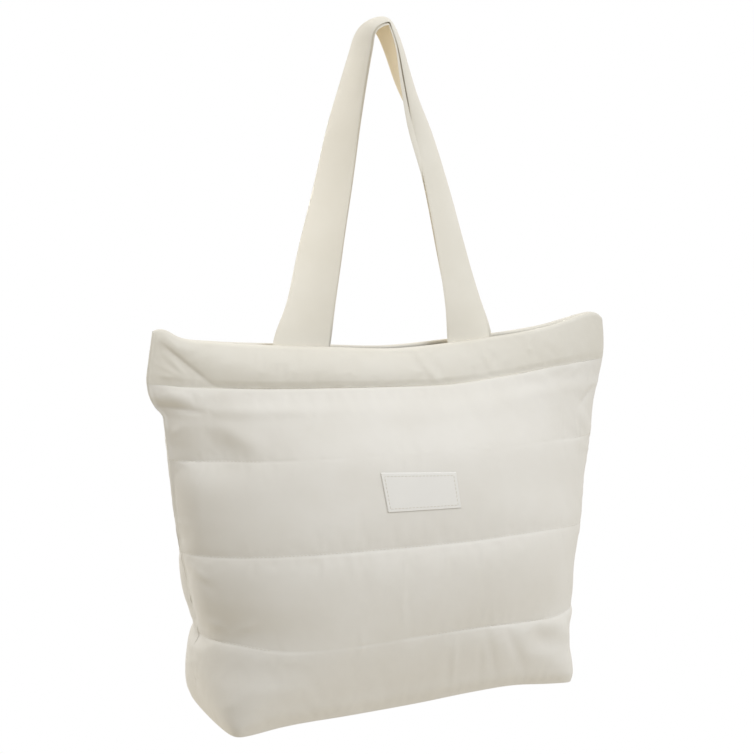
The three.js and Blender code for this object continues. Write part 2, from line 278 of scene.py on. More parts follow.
# Sewn lines from the base to the band's seam, and how far the padding is drawn in along each, as a share of
# its swell, from the left side seam over the middle to the right one.
SEWN_COLUMNS = ("height", "left", "left_half", "middle", "right_half", "right")
SEWN_PLACES = np.array([-1, -0.5, 0, 0.5, 1])
SEWN_LINES = [
    (0, 0.2, 0.2, 0.2, 0.2, 0.2),
    (76, 1, 0.15, 0.3, 0.65, 0.6),
    (159, 0.65, 0.5, 0.6, 0.5, 0.4),
    (243, 0.9, 0.15, 0, 0, 0.5),
    (BAND_SEAM, 0.9, 0.45, 0.4, 0.4, 0.6),
]
SEWN_HEIGHTS = tuple(line[0] for line in SEWN_LINES)

# How much higher than its middle a level runs at places across the bag, for the sewn lines and the mouth.
RISE_COLUMNS = ("x", "base", "first", "second", "third", "band_seam", "mouth")
RISE_HEIGHTS = (*SEWN_HEIGHTS, BAG_HEIGHT)
RISES = [
    (-230, 0, 0, -1, 1, 13, 14),
    (-224, 0, 0, -1, 1, 12.5, 20),
    (-216, 0, 1, -1, 1, 12, 22),
    (-200, 0, 2, -1, 0, 10, 14.5),
    (-165, 0, 4, 0, 0, 8, 8.7),
    (-130, 3.5, -1, 1, 0, 6, 5.6),
    (-60, 5, -2, 1, 0.5, 4, 1.1),
    (10, 7, -0.5, 0, 0.5, 2, -2.9),
    (60, 9.5, 0, 0, 0, 1.5, -0.4),
    (110, 10, -2, 1, -1, 5, 3.6),
    (150, 6, -4, 0, -1, 8.5, 7.4),
    (180, 4, -4, -3, -2, 11.5, 11.8),
    (198, 4, -4, -5, -3, 12.5, 16),
    (210, 4, -4, -6, -3, 13.5, 19),
    (219, 4, -3, -6.5, -3.5, 14, 21.4),
    (242, 4, -1, -7.5, -4, 15.5, 20.7),
    (250, 4, 0, -8, -4, 16, 14),
]

# Legs of the straps, from the top of the loop down: the leg's place, how far it has twisted out of the bag's
# width, and how far its edges roll in. The last three rows lie along the band.
LEG_COLUMNS = ("drop", "x", "turn", "curl", "width")
LEFT_LEG = [
    (0, 0, 90, 70, 40),
    (5, -14.5, 89, 65, 40),
    (15, -22, 87, 55, 40),
    (30, -25, 83, 40, 40),
    (60, -31.5, 76, 26, 40),
    (100, -40, 65, 13, 40),
    (150, -49.5, 53, 8, 40),
    (210, -63.5, 40, 5, 42),
    (265, -75.5, 18, 4, 43.5),
    (STRAP_DROP, -84.3, 0, 0, 54.5),
    (TAIL_MIDDLE, -85.3, 0, 0, 54.5),
    (TAIL_END, -86.3, 0, 0, 54.5),
]
RIGHT_LEG = [
    (0, 0, 90, 70, 40),
    (7, 10.5, 86, 95, 40),
    (26, 20.1, 82, 102, 40),
    (60, 32.7, 67, 104, 40),
    (100, 47.2, 41, 76, 40),
    (150, 60.5, 32, 44, 41.5),
    (210, 73, 25, 25, 43.5),
    (265, 83.5, 16, 15, 45.5),
    (STRAP_DROP, 89, 0, 0, 46.5),
    (TAIL_MIDDLE, 90, 0, 0, 46.5),
    (TAIL_END, 91, 0, 0, 46.5),
]
BACK_RIGHT_LEG = [
    (0, 0, 90, 70, 40),
    (7, 10.5, 88, 90, 40),
    (26, 19.5, 84, 95, 40),
    (60, 28.5, 71, 86, 40),
    (100, 41, 51, 65, 40),
    (150, 60.5, 33, 40, 41),
    (210, 73, 25, 25, 43),
    (265, 84, 16, 15, 45),
    (STRAP_DROP, 90.3, 0, 0, 46),
    (TAIL_MIDDLE, 91.3, 0, 0, 46),
    (TAIL_END, 92.3, 0, 0, 46),
]
LEGS = {
    FRONT: {"left": LEFT_LEG, "right": RIGHT_LEG},
    BACK: {"left": LEFT_LEG, "right": BACK_RIGHT_LEG},
}
STATION_COLUMNS = ("index", "x", "y", "z", "turn", "curl", "width", "nest")

# Folds of the cloth, each along a line from one place to another, as x and height. lift is outwards, and the
# power is 1 for a sharp crease and 2 for a soft roll.
FOLD_COLUMNS = ("x0", "h0", "x1", "h1", "width", "lift", "power")
FRONT_FOLDS = [
    (-233, 294.3, -179, 286.6, 5, -6, 1),
    (-224, 304, -190, 299, 7, 2, 2),
    (-205, 253, -140, 248, 24, -6.4, 2),
    (-186, 281, -128, 249, 9, 2.2, 2),
    (-211, 264, -203, 276, 2.5, 1.2, 2),
    (238, 289, 207, 268, 3.5, -2, 1),
    (224, 266, 207, 250, 16, 1.4, 2),
    (-16, 125, -16, 92, 3, 0.7, 2),
    (-8, 120, -20, 95, 3, -0.6, 2),
    (38, 72, 40, 18, 3, 0.8, 2),
    (66, 72, 68, 20, 4, -0.7, 2),
    (70, 74, 86, 25, 5, -1, 2),
    (92, 74, 118, 25, 6, -1.4, 2),
    (118, 68, 158, 38, 11, -2.4, 2),
    (150, 66, 192, 34, 10, 3.2, 2),
    (-184, 22, -164, 38, 4, 0.7, 2),
    (-168, 92, -147, 103, 4, 1, 2),
    (-198, 150, -186, 134, 3, 1.2, 2),
    (-196, 140, -180, 127, 4, -1, 2),
    (-188, 100, -172, 92, 4, 1.4, 2),
]
BACK_FOLDS = [
    (226, 294, 186, 286, 5, -3.5, 1),
    (-230, 290, -196, 270, 5, -3, 1),
    (180, 262, 150, 252, 20, -3, 2),
    (60, 72, 75, 20, 5, -1.2, 2),
    (-95, 74, -120, 24, 7, -1.6, 2),
    (-20, 122, -14, 92, 3, 0.8, 2),
    (120, 110, 140, 96, 4, 1, 2),
    (-170, 150, -150, 132, 4, 1.1, 2),
]
BAND_FOLDS = [
    (24, 336, 33, 322, 4, 0.9, 2),
    (33, 322, 45, 303, 3, 1, 2),
    (42, 326, 52, 306, 4, -0.8, 2),
    (98, 331, 104, 313, 2.5, 0.8, 2),
    (108, 330, 112, 316, 2.5, -0.6, 2),
    (151, 335, 153, 325, 2.5, 0.8, 2),
    (-225, 322, -200, 318, 2.5, 0.9, 2),
    (-222, 332, -196, 317, 2.5, 0.7, 2),
    (-214, 340, -194, 318, 2.5, 0.6, 2),
]
BACK_BAND_FOLDS = [
    (-60, 334, -50, 308, 4, 0.9, 2),
    (20, 330, 26, 312, 3, -0.8, 2),
    (140, 334, 132, 312, 3, 0.8, 2),
    (210, 345, 180, 315, 5, -3, 1),
]
FOLDS = {
    "panel": {FRONT: FRONT_FOLDS, BACK: BACK_FOLDS},
    "band": {FRONT: BAND_FOLDS, BACK: BACK_BAND_FOLDS},
}
FOLD_FADE = 0.8  # how much of its lift a fold loses towards its ends
BASE_FREE = 8  # height over which folds set in above the base's seam
SEAM_FREE = 6  # distance over which they set in below the band's seam
BAND_FOOT_FREE = 0.08  # share of the band's height over which they set in above its seam
BAND_RIM_FREE = 0.1  # and below its upper edge


# Curves and tables
def table_columns(rows, names):
    """The columns of a table by name, as arrays."""
    values = np.array(rows, float).T
    return dict(zip(names, values))


def smooth(positions, values, at):
    """A smooth curve through values at positions, taken at other positions."""
    slopes = np.gradient(values, positions)
    index = np.clip(np.searchsorted(positions, at, side="right") - 1, 0, len(positions) - 2)
    span = positions[index + 1] - positions[index]
    t = (at - positions[index]) / span
    start = (1 + 2 * t) * (1 - t) ** 2 * values[index] + t * (1 - t) ** 2 * span * slopes[index]
    end = t**2 * (3 - 2 * t) * values[index + 1] + t**2 * (t - 1) * span * slopes[index + 1]
    return start + end


def smooth_table(rows, names, along, at):
    """Every column of a table, taken smoothly at positions of one of them."""
    columns = table_columns(rows, names)
    at = np.asarray(at, float)
    return {name: smooth(columns[along], columns[name], at) for name in names}


def smoothstep(value, low, high):
    """A smooth rise from 0 at low to 1 at high."""
    t = np.clip((value - low) / (high - low), 0, 1)
    return t * t * (3 - 2 * t)


def crowded_shares(count):
    """Shares from 0 to 1 that crowd towards both ends."""
    even = np.linspace(0, 1, count + 1)
    crowded = 0.5 - 0.5 * np.cos(math.pi * even)
    return even * (1 - END_CLUSTER) + crowded * END_CLUSTER


def rounded_end(distance, length):
    """A factor that falls from 1 to 0 in a quarter circle within length of an end."""
    return np.sqrt(1 - (1 - (distance / length).clip(0, 1)) ** 2)


def unit(vectors):
    """Vectors brought to a length of 1."""
    return vectors / np.linalg.norm(vectors, axis=-1, keepdims=True).clip(TINY)


def run_along(points):
    """Distance of each point from the first one of its row, along the row."""
    steps = np.linalg.norm(np.diff(points, axis=-2), axis=-1)
    return np.concatenate([np.zeros_like(steps[..., :1]), np.cumsum(steps, axis=-1)], axis=-1)


def row_lengths(points):
    """Distance along each row from its middle."""
    run = run_along(points)
    return run - run[:, -1:] / 2


def end_distance(points):
    """Distance of each point from the nearer end of its row."""
    run = run_along(points)
    return np.minimum(run, run[:, -1:] - run)


def surface_normals(points):
    """Outward normals of a grid of points."""
    down = np.gradient(points, axis=0)
    along = np.gradient(points, axis=1)
    return unit(np.cross(along, down))


# Shape of the bag
def levels_at(heights):
    """Level sizes at heights, as columns of one value a row."""
    found = smooth_table(LEVELS, LEVEL_COLUMNS, "height", heights)
    found = {name: values[:, None] for name, values in found.items()}
    found["middle"] = (found["left"] + found["right"]) / 2
    found["half"] = (found["right"] - found["left"]) / 2
    return found


def outline(levels, shares):
    """Front half of each level's outline at shares of its length: places across, from -1 to 1, and depths."""
    s = np.sin(np.linspace(-0.5, 0.5, OUTLINE_SAMPLES) * math.pi)
    depth = levels["depth"] * (1 - np.abs(s) ** levels["front_power"]).clip(0) ** (1 / levels["side_power"])
    x = levels["half"] * s
    steps = np.hypot(np.diff(x, axis=1), np.diff(depth, axis=1))
    run = np.concatenate([np.zeros((len(x), 1)), np.cumsum(steps, axis=1)], axis=1)
    run /= run[:, -1:]
    across = np.array([np.interp(shares, row, s) for row in run])
    depths = np.array([np.interp(shares, row, d) for row, d in zip(run, depth)])
    return across, depths


def level_rise(heights, x):
    """How much higher than its middle each level runs at places across the bag."""
    rises = smooth_table(RISES, RISE_COLUMNS, "x", x)
    lines = np.stack([rises[name] for name in RISE_COLUMNS[1:]])
    place = np.interp(heights, RISE_HEIGHTS, np.arange(len(RISE_HEIGHTS))) + np.zeros_like(x)
    lower = np.clip(place.astype(int), 0, len(RISE_HEIGHTS) - 2)
    low = np.take_along_axis(lines, lower[None], 0)[0]
    high = np.take_along_axis(lines, lower[None] + 1, 0)[0]
    return low + (high - low) * (place - lower)


def level_points(levels, shares):
    """Points of the front wall's middle surface, and their outward directions in plan."""
    across, depth = outline(levels, shares)
    x = levels["middle"] + levels["half"] * across
    z = BASE_Z + levels["height"] + level_rise(levels["height"], x)
    points = np.stack([x, -depth, z], axis=-1)
    along = unit(np.gradient(points[..., :2], axis=1))
    outwards = np.stack([along[..., 1], -along[..., 0], np.zeros_like(x)], axis=-1)
    return points, outwards


def keep_in_front(points):
    """The wall stays on its own side of the side seams."""
    points[..., 1] = np.minimum(points[..., 1], -SEAM_GAP / 2)
    return points


# Folds and puckers
def folds(rows, x, height):
    """How far the folds of a table lift the cloth at places."""
    total = np.zeros_like(x)
    for row in rows:
        fold = dict(zip(FOLD_COLUMNS, row))
        from_x = x - fold["x0"]
        from_height = height - fold["h0"]
        run = np.array([fold["x1"] - fold["x0"], fold["h1"] - fold["h0"]], float)
        t = ((from_x * run[0] + from_height * run[1]) / (run @ run)).clip(0, 1)
        distance = np.hypot(from_x - t * run[0], from_height - t * run[1])
        fade = 1 - FOLD_FADE * smoothstep(np.abs(2 * t - 1), 0, 1)
        total += fold["lift"] * fade * np.exp(-((distance / fold["width"]) ** fold["power"]))
    return total


def puckers(along, away, seed, spacing, length, lift):
    """Small puckers that run out of a seam, at distances along it and away from it."""
    draw = np.random.default_rng(seed)
    low, high = along.min(), along.max()
    total = np.zeros_like(along)
    count = int((high - low) / spacing)
    for place in draw.uniform(low, high, count):
        width = draw.uniform(*PUCKER_WIDTHS)
        reach = length * draw.uniform(*PUCKER_REACHES)
        slant = draw.uniform(*PUCKER_SLANTS)
        size = lift * draw.uniform(*PUCKER_SIZES)
        near = np.exp(-(((along - place - slant * away) / width) ** 2))
        total += size * near * np.exp(-away / reach) * (1 - np.exp(-away / PUCKER_START))
    return total


# Quilted walls
def panel_heights():
    """Heights of the quilted wall's rows, with each row's lower sewn line and its share of the way up."""
    heights = []
    lines = []
    shares = []
    for index, (low, high) in enumerate(zip(SEWN_HEIGHTS, SEWN_HEIGHTS[1:])):
        if high == BAND_SEAM:
            high -= SEAM_GAP / 2
        first = 0 if index == 0 else 1
        for share in crowded_shares(ROWS_PER_BAFFLE)[first:]:
            heights.append(low + (high - low) * share)
            lines.append(index)
            shares.append(share)
    return np.array(heights), np.array(lines), np.array(shares)


def sewn_depths(columns):
    """How deep each sewn line is at shares of the wall's width, one row a line."""
    table = table_columns(SEWN_LINES, SEWN_COLUMNS)
    lines = np.stack([table[name] for name in SEWN_COLUMNS[1:]], axis=-1)
    depths = [smooth(SEWN_PLACES, line, 2 * columns - 1) for line in lines]
    return np.array(depths).clip(0, 1)


def panel_swell(lines, shares, columns):
    """How far the padding swells at each row and column, as a share of its full swell."""
    depths = sewn_depths(columns)
    belly = np.sin(math.pi * shares**BELLY_POWER).clip(0) ** PUFF_POWER
    upper = smoothstep(shares, 0, 1)[:, None]
    drawn_in = depths[lines] * (1 - upper) + depths[lines + 1] * upper
    return 1 - (1 - belly[:, None]) * drawn_in


def side_rise(points, heights):
    """How far a baffle has risen from its selvage, from 0 to 1. The lowest one runs on round the corner."""
    rise = np.sin(0.5 * math.pi * ((end_distance(points) - SELVAGE) / SIDE_ROLL).clip(0, 1))
    unbroken = smoothstep(SEWN_HEIGHTS[1] - heights, *CORNER_RUN)[:, None]
    return rise + (1 - rise) * unbroken


def panel_puckers(points, heights, seed):
    """Puckers along the sewn lines and the side seams."""
    along = row_lengths(points)
    total = np.zeros_like(along)
    for index, line in enumerate(SEWN_HEIGHTS):
        away = np.abs(heights - line)[:, None] + np.zeros_like(along)
        total += puckers(along, away, seed + index, **SEAM_PUCKERS)
    ends = end_distance(points)
    level = heights[:, None] + np.zeros_like(along)
    for index, side in enumerate((along < 0, along >= 0)):
        away = np.where(side, ends, OUT_OF_REACH)
        total += puckers(level, away, seed + SIDE_SEED_STEP + index, **SIDE_PUCKERS)
    return total


def panel_faces(side):
    """Outer and inner face of a quilted wall, as grids of points of a front wall, and the cloth's own run."""
    heights, lines, shares = panel_heights()
    columns = crowded_shares(PANEL_COLUMNS)
    levels = levels_at(heights)
    middle, outwards = level_points(levels, columns)
    rise = side_rise(middle, heights)
    taut = TAUT_SIDE * smoothstep(middle[..., 0], *TAUT_PLACES) * smoothstep(heights, *TAUT_HEIGHTS)[:, None]
    swell = panel_swell(lines, shares, columns) * rise * (1 - taut)
    ends = rounded_end(end_distance(middle), EDGE_ROUND)
    thin = np.maximum(ends, rise)
    outer = middle + outwards * ((QUILT_SKIN + levels["puff"] * swell) * thin)[..., None]
    x = outer[..., 0]
    height = outer[..., 2] - BASE_Z
    free = ends * (smoothstep(heights, 0, BASE_FREE) * smoothstep(BAND_SEAM - heights, 0, SEAM_FREE))[:, None]
    folded = free * folds(FOLDS["panel"][side], x, height)
    puckered = free * panel_puckers(middle, heights, PUCKER_SEEDS["panel"][side])
    outer = outer + outwards * (folded + puckered)[..., None]
    inner_swell = INNER_PUFF * swell * smoothstep(heights, 0, INNER_RISE)[:, None]
    inner = middle + outwards * (folded - (QUILT_SKIN + inner_swell) * thin)[..., None]
    cloth = np.stack([row_lengths(middle), heights[:, None] + np.zeros_like(x)], axis=-1)
    return keep_in_front(outer), keep_in_front(inner), cloth


# Mouth band
def ear_bulge(x, height):
    """How far the band's bulge has risen from the crease near its side seam, from 0 to 1."""
    normal = np.array([-EAR_CREASE["along_height"], EAR_CREASE["along_x"]], float)
    normal /= np.linalg.norm(normal)
    distance = (x - EAR_CREASE["x"]) * normal[0] + (height - EAR_CREASE["height"]) * normal[1]
    return rounded_end(distance, EAR_ROLL)


def band_bulge(side, shares, middle):
    """How far the band bulges at each row and column, as a share of its full bulge."""
    bulge = np.sin(math.pi * shares).clip(0)[:, None] ** BAND_PUFF_POWER
    bulge = bulge * rounded_end(end_distance(middle) - SELVAGE, SIDE_ROLL)
    if side == BACK:
        return bulge
    x = middle[..., 0]
    creased = smoothstep(1 - shares, *EAR_RIM)[:, None]
    bulge = bulge * (1 - CREASE_DEPTH * creased * (1 - ear_bulge(x, middle[..., 2] - BASE_Z)))
    return bulge * (1 - FLAT_EAR * smoothstep(x, *FLAT_EAR_PLACES))


def band_faces(side):
    """Outer and inner face of the band, as grids of points of a front wall, and the cloth's own run."""
    shares = crowded_shares(BAND_ROWS)
    heights = BAND_SEAM + SEAM_GAP / 2 + (BAG_HEIGHT - BAND_SEAM - SEAM_GAP / 2) * shares
    columns = crowded_shares(PANEL_COLUMNS)
    middle, outwards = level_points(levels_at(heights), columns)
    nearness = np.abs(2 * columns - 1)[None, :]
    skin = BAND_SKIN + (QUILT_SKIN - BAND_SKIN) * nearness**END_THIN_POWER
    top = rounded_end((BAG_HEIGHT - heights)[:, None], BAND_LIP)
    ends = rounded_end(end_distance(middle), EDGE_ROUND)
    foot = QUILT_SKIN + (skin - QUILT_SKIN) * smoothstep(shares, 0, BAND_FOOT)[:, None]
    bulge = BAND_PUFF * band_bulge(side, shares, middle)
    outer = middle + outwards * ((foot * top + bulge) * ends)[..., None]
    detail = folds(FOLDS["band"][side], middle[..., 0], middle[..., 2] - BASE_Z)
    along = row_lengths(middle)
    away = (heights - BAND_SEAM)[:, None] + np.zeros_like(along)
    detail += puckers(along, away, PUCKER_SEEDS["band"][side], **SEAM_PUCKERS)
    free = smoothstep(shares, 0, BAND_FOOT_FREE)[:, None]
    detail *= ends * free * smoothstep(1 - shares, 0, BAND_RIM_FREE)[:, None]
    outer = outer + surface_normals(outer) * detail[..., None]
    inner = middle - outwards * (foot * top * ends)[..., None]
    cloth = np.stack([along, heights[:, None] + np.zeros_like(along)], axis=-1)
    return keep_in_front(outer), keep_in_front(inner), cloth


# Base
def base_faces():
    """Upper and lower face of the base, as grids from front edge to back edge, and the cloth's own run."""
    columns = crowded_shares(PANEL_COLUMNS)[BASE_END_COLUMNS:-BASE_END_COLUMNS]
    levels = levels_at(np.array([0.0]))
    middle, outwards = level_points(levels, columns)
    across = np.linspace(1, -1, BASE_ROWS + 1)[:, None]
    faces = []
    for inset, height, crown in ((SEAM_GAP + INNER_PUFF, BASE_THICKNESS, 0), (SEAM_GAP, 0, BASE_CROWN)):
        ring = (middle - outwards * (QUILT_SKIN + inset))[0]
        x = ring[:, 0] + 0 * across
        y = ring[:, 1] * across
        place = (x - levels["middle"]) / levels["half"]
        sag = crown * (1 - np.abs(across) ** CROWN_EDGE_POWER) * (1 - np.abs(place) ** CROWN_END_POWER)
        z = BASE_Z + level_rise(levels["height"], x) + height - sag
        faces.append(np.stack([x, y, z], axis=-1))
    upper, lower = faces
    return upper, lower, lower[..., :2].copy()


# Straps
def band_inner_depth(x, height):
    """Distance from the mid-plane to the band's inner face."""
    level = {name: values[0, 0] for name, values in levels_at(np.array([float(height)])).items()}
    share = min(1, abs(x - level["middle"]) / level["half"])
    depth = level["depth"] * (1 - share ** level["front_power"]) ** (1 / level["side_power"])
    return depth - BAND_SKIN + PIECE_GAP / 2


def band_turn(x, height):
    """How far, in degrees, the band's inner face is turned out of the bag's width at a strap's foot."""
    reach = FOOT_WIDTH / 2
    change = band_inner_depth(x + reach, height) - band_inner_depth(x - reach, height)
    return math.degrees(math.atan(abs(change) / FOOT_WIDTH))


def strap_place(row, side, leg):
    """One row of a strap's centre line on its left or right leg."""
    apart = float(smoothstep(row["drop"], APART_FROM, STRAP_DROP))
    x = row["x"] + (BACK_FOOT_SHIFT * apart if side == BACK else 0)
    z = STRAP_THICKNESS / 2 + NEST_TOP - row["drop"]
    height = min(BAG_HEIGHT, z - BASE_Z)
    foot_depth = band_inner_depth(x, height) - PIECE_GAP - STRAP_THICKNESS
    turn = row["turn"] if row["drop"] < STRAP_DROP else -side * band_turn(x, height)
    turn = turn if leg == "left" else 180 - turn
    nest = NEST_STEP * (1 - apart) if side == BACK else 0
    return x, side * foot_depth * apart, z, turn, max(row["curl"], FLAT_CURL), row["width"], nest


def strap_stations(side):
    """Both legs of a strap as one table, from the left tail over the loop to the right one."""
    rows = {leg: [dict(zip(LEG_COLUMNS, row)) for row in table] for leg, table in LEGS[side].items()}
    left = [strap_place(row, side, "left") for row in reversed(rows["left"][1:])]
    right = [strap_place(row, side, "right") for row in rows["right"]]
    return [(index, *place) for index, place in enumerate(left + right)]


def strap_faces(side):
    """Outer and inner face of a strap that twists and rolls its edges in, and the cloth's own run."""
    rows = strap_stations(side)
    at = np.linspace(0, len(rows) - 1, (len(rows) - 1) * STRAP_STEPS + 1)
    station = smooth_table(rows, STATION_COLUMNS, "index", at)
    centres = np.stack([station["x"], station["y"], station["z"]], axis=-1)
    along = unit(np.gradient(centres, axis=0))
    turn = np.radians(station["turn"])
    across = np.stack([np.cos(turn), -np.sin(turn), np.zeros_like(turn)], axis=-1)
    across = unit(across - along * (across * along).sum(-1, keepdims=True))
    outwards = np.cross(across, along)
    radius = station["width"] / np.radians(station["curl"]) - station["nest"]
    hub = centres - outwards * (radius + station["nest"])[:, None]
    place = 2 * crowded_shares(STRAP_COLUMNS) - 1
    angle = place[None, :] * (station["width"] / radius / 2)[:, None]
    thin = (1 - np.abs(place) ** STRAP_EDGE_POWER) ** 0.5
    faces = []
    for half in (STRAP_THICKNESS / 2, -STRAP_THICKNESS / 2):
        distance = radius[:, None] + half * thin
        ring = hub[:, None] + across[:, None] * (distance * np.sin(angle))[..., None]
        faces.append(ring + outwards[:, None] * (distance * np.cos(angle))[..., None])
    sideways = place[None, :] * station["width"][:, None] / 2
    cloth = np.stack(np.broadcast_arrays(sideways, run_along(centres)[:, None]), axis=-1)
    return faces[0], faces[1], cloth


# Meshes
def mirrored(grid):
    """A front wall's grid as the back wall's, with its columns run the other way so that faces point out."""
    turned = grid[:, ::-1].copy()
    turned[..., 1] *= -1
    return turned


def quad_faces(index):
    """Faces of one grid of points."""
    return np.stack([index[:-1, :-1], index[:-1, 1:], index[1:, 1:], index[1:, :-1]], -1).reshape(-1, 4)


def wall_faces(rows, columns):
    """Faces of a closed wall from two grids of points, its outer and its inner face."""
    outer, inner = np.arange(2 * rows * columns).reshape(2, rows, columns)
    quads = [
        quad_faces(outer),
        quad_faces(inner)[:, TURNED_OVER],
        np.stack([inner[0, :-1], inner[0, 1:], outer[0, 1:], outer[0, :-1]], -1),
        np.stack([outer[-1, :-1], outer[-1, 1:], inner[-1, 1:], inner[-1, :-1]], -1),
        np.stack([outer[:-1, 0], outer[1:, 0], inner[1:, 0], inner[:-1, 0]], -1),
        np.stack([inner[:-1, -1], inner[1:, -1], outer[1:, -1], outer[:-1, -1]], -1),
    ]
    return np.concatenate(quads)


def mesh_object(name, points, faces, material):
    """A smooth mesh object from points in millimetres and lists of their numbers."""
    mesh = bpy.data.meshes.new(name)
    mesh.from_pydata((points * MM).tolist(), [], faces)
    mesh.polygons.foreach_set("use_smooth", np.ones(len(mesh.polygons), bool))
    mesh.materials.append(material)
    piece = bpy.data.objects.new(name, mesh)
    bpy.context.scene.collection.objects.link(piece)
    return piece


def weld(mesh):
    """Joins points that lie together, such as those of two faces that meet at an edge."""
    joined = bmesh.new()
    joined.from_mesh(mesh)
    bmesh.ops.remove_doubles(joined, verts=joined.verts, dist=WELD_DISTANCE * MM)
    bmesh.ops.dissolve_degenerate(joined, edges=joined.edges, dist=WELD_DISTANCE * MM)
    joined.to_mesh(mesh)
    joined.free()
    mesh.set_sharp_from_angle(angle=math.radians(SHARP_ANGLE))


def wall_object(name, faces, material, painted_glow_inside=None):
    """A closed wall as an object, with the cloth's own run in metres as its map."""
    outer, inner, cloth = faces
    rows, columns = outer.shape[:2]
    points = np.concatenate([outer.reshape(-1, 3), inner.reshape(-1, 3)])
    piece = mesh_object(name, points, wall_faces(rows, columns).tolist(), material)
    layer = piece.data.uv_layers.new(name=CLOTH_MAP)
    flat = np.concatenate([cloth.reshape(-1, 2)] * 2) * MM
    corners = np.zeros(len(piece.data.loops), np.int32)
    piece.data.loops.foreach_get("vertex_index", corners)
    layer.uv.foreach_set("vector", flat[corners].astype(np.float32).ravel())
    # The inner faces may take a second material: on the straps it is a painted gold glow of light shining
    # through the cloth.
    if painted_glow_inside:
        piece.data.materials.append(painted_glow_inside)
        inner_faces = np.zeros(len(piece.data.polygons), np.int32)
        face_count = (rows - 1) * (columns - 1)
        inner_faces[face_count:2 * face_count] = 1
        piece.data.polygons.foreach_set("material_index", inner_faces)
    weld(piece.data)
    return piece


# Finishes
def node(tree, kind, **inputs):
    """A shader node with input values by name."""
    made = tree.nodes.new(kind)
    for name, value in inputs.items():
        made.inputs[name.replace("_", " ")].default_value = value
    return made


def math_node(tree, operation, first, second):
    """A Math node on two inputs, each a socket or a number."""
    made = tree.nodes.new("ShaderNodeMath")
    made.operation = operation
    for socket, value in zip(made.inputs, (first, second)):
        if isinstance(value, (int, float)):
            socket.default_value = value
        else:
            tree.links.new(value, socket)
    return made.outputs[0]


def weave_height(tree, pitch):
    """The height of a plain weave of threads at a pitch in millimetres, from the cloth's own map."""
    run = tree.nodes.new("ShaderNodeUVMap")
    run.uv_map = CLOTH_MAP
    split = tree.nodes.new("ShaderNodeSeparateXYZ")
    tree.links.new(run.outputs["UV"], split.inputs[0])
    turns = 2 * math.pi / (pitch * MM)
    waves = []
    for axis in ("X", "Y"):
        phase = math_node(tree, "MULTIPLY", split.outputs[axis], turns)
        waves.append(math_node(tree, "SINE", phase, 0.0))
    return math_node(tree, "MULTIPLY", waves[0], waves[1])


def noise_value(tree, size, detail):
    """A soft noise whose lumps are about size millimetres."""
    place = tree.nodes.new("ShaderNodeTexCoord")
    noise = node(tree, "ShaderNodeTexNoise", Scale=1 / (size * MM), Detail=detail, Roughness=NOISE_ROUGHNESS)
    tree.links.new(place.outputs["Object"], noise.inputs["Vector"])
    return noise.outputs["Fac"]


def cloth_material(name, pale, deep, roughness, sheen, pitch, weave_depth, crumple):
    """Woven cloth: two close tones, thread relief and a fine crumple."""
    material = bpy.data.materials.new(name)
    material.use_nodes = True
    tree = material.node_tree
    shader = tree.nodes["Principled BSDF"]
    shader.inputs["Sheen Weight"].default_value = sheen
    shader.inputs["Sheen Roughness"].default_value = SHEEN_ROUGHNESS
    shader.inputs["Specular IOR Level"].default_value = SPECULAR_LEVEL
    tones = tree.nodes.new("ShaderNodeValToRGB")
    for stop, place, tone in zip(tones.color_ramp.elements, TONE_PLACES, (deep, pale)):
        stop.color = (*tone, 1)
        stop.position = place
    tree.links.new(noise_value(tree, **TONE_NOISE), tones.inputs["Fac"])
    tree.links.new(tones.outputs["Color"], shader.inputs["Base Color"])
    spread = {"To_Min": roughness - ROUGHNESS_SPREAD, "To_Max": roughness + ROUGHNESS_SPREAD}
    gloss = node(tree, "ShaderNodeMapRange", **spread)
    tree.links.new(noise_value(tree, **GLOSS_NOISE), gloss.inputs["Value"])
    tree.links.new(gloss.outputs["Result"], shader.inputs["Roughness"])
    threads = node(tree, "ShaderNodeBump", Strength=1.0, Distance=weave_depth * MM)
    tree.links.new(weave_height(tree, pitch), threads.inputs["Height"])
    rumple = node(tree, "ShaderNodeBump", Strength=1.0, Distance=crumple * MM)
    tree.links.new(noise_value(tree, **CRUMPLE_NOISE), rumple.inputs["Height"])
    tree.links.new(threads.outputs["Normal"], rumple.inputs["Normal"])
    tree.links.new(rumple.outputs["Normal"], shader.inputs["Normal"])
    return material


MATERIALS = {}
for finish_name, finish in FINISHES.items():
    MATERIALS[finish_name] = cloth_material(finish_name, **dict(zip(FINISH_COLUMNS, finish)))


# Small folds
def cloth_skin(name, points, pinned):
    """A skin with its sewn points pinned, ready to swell."""
    index = np.arange(points[..., 0].size).reshape(points.shape[:2])
    skin = mesh_object(name, points.reshape(-1, 3), quad_faces(index).tolist(), MATERIALS["shell_nylon"])
    skin.vertex_groups.new(name=SEWN_GROUP).add(index[pinned].tolist(), 1.0, "REPLACE")
    settings = skin.modifiers.new("cloth", "CLOTH").settings
    for setting, value in SKIN_SETTINGS.items():
        setattr(settings, setting, value)
    settings.effector_weights.gravity = 0
    return skin


def smoothed(grid, steps):
    """A grid blurred along its rows and columns."""
    for _ in range(steps):
        for axis in (0, 1):
            grid = np.moveaxis(grid, axis, 0)
            ends = np.concatenate([grid[:1], grid, grid[-1:]])
            grid = np.moveaxis((ends[:-2] + 2 * grid + ends[2:]) / 4, 0, axis)
    return grid


